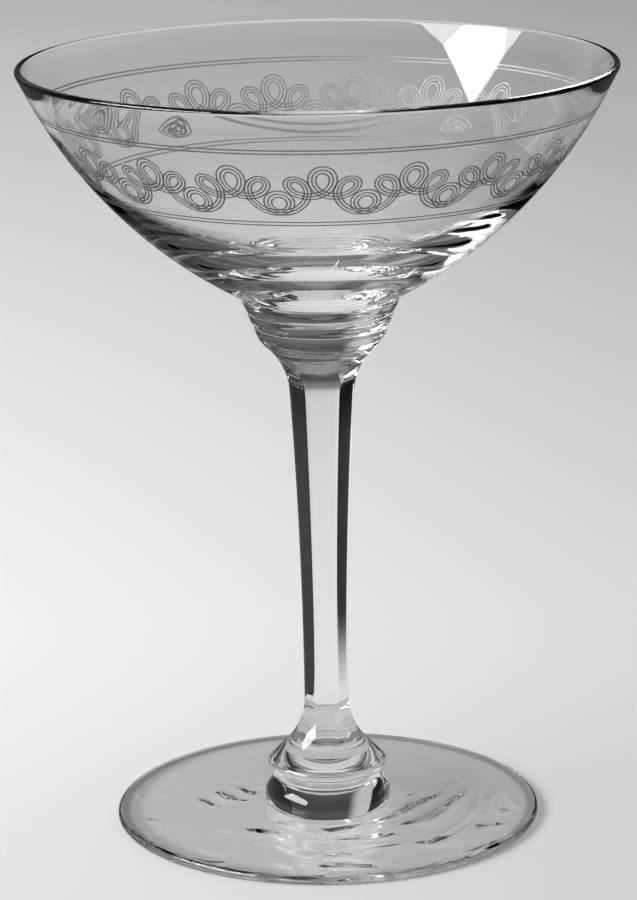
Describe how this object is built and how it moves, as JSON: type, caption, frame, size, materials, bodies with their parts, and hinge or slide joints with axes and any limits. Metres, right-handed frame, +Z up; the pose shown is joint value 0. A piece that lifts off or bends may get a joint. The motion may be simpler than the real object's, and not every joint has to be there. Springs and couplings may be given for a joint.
{
  "type": "sherbet glass",
  "caption": "Clear stemmed sherbet glass: wide shallow flared bowl on a stepped capital, a faceted waisted stem with a bell, a round button and a flat disc foot.",
  "frame": {"origin": "middle of the foot, on the surface that the glass stands on", "axes": "+Z up along the glass's axis of symmetry, +X and +Y level, with two stem facets square to Y"},
  "size_m": [0.1016, 0.1016, 0.1332],
  "materials": {
    "clear_glass": "fire-polished clear glass"
  },
  "bodies": {
    "root": {"foot": "clear_glass", "button": "clear_glass", "stem": "clear_glass", "bowl": "clear_glass"}
  },
  "joints": []
}
